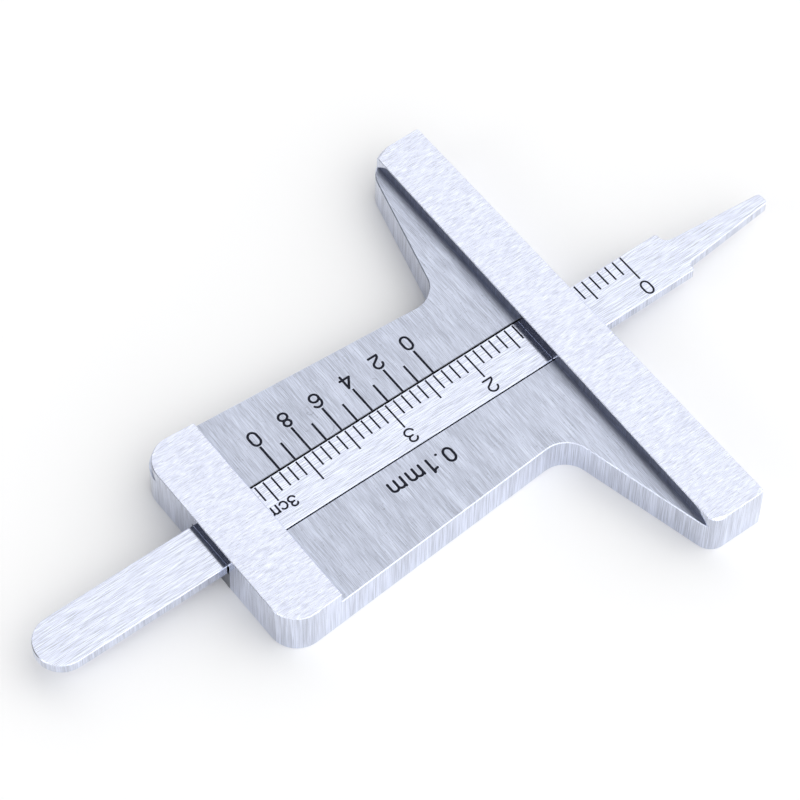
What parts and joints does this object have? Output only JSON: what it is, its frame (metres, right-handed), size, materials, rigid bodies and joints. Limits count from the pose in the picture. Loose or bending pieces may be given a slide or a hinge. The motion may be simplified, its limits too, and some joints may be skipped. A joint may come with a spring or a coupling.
{
  "type": "vernier depth gauge",
  "caption": "Pocket vernier depth gauge: a T-shaped steel frame with a raised base bar, and a graduated beam with a narrow nose sliding through it.",
  "frame": {"origin": "where the beam's centre line meets the edge between the measuring face of the base bar and the flat back", "axes": "+X along the beam towards the probe tip, +Z away from the flat back towards the graduated side, +Y to the side with the vernier marks"},
  "size_m": [0.0902, 0.0554, 0.0056],
  "materials": {
    "frame_steel": "brushed across the frame, graduations filled black",
    "cover_steel": "brushed along the beam's direction",
    "beam_steel": "brushed lengthwise, graduations filled black",
    "spring_steel": "rolled spring strip"
  },
  "bodies": {
    "frame": {"frame_body": "frame_steel", "base_bar_cover": "cover_steel", "end_bridge_cover": "cover_steel", "friction_spring": "spring_steel"},
    "beam": {"beam": "beam_steel"}
  },
  "joints": [
    {"name": "beam_slide", "type": "slide", "parent": "frame", "child": "beam", "axis": [1, 0, 0], "range_m": [-0.0238, 0.0062]}
  ]
}
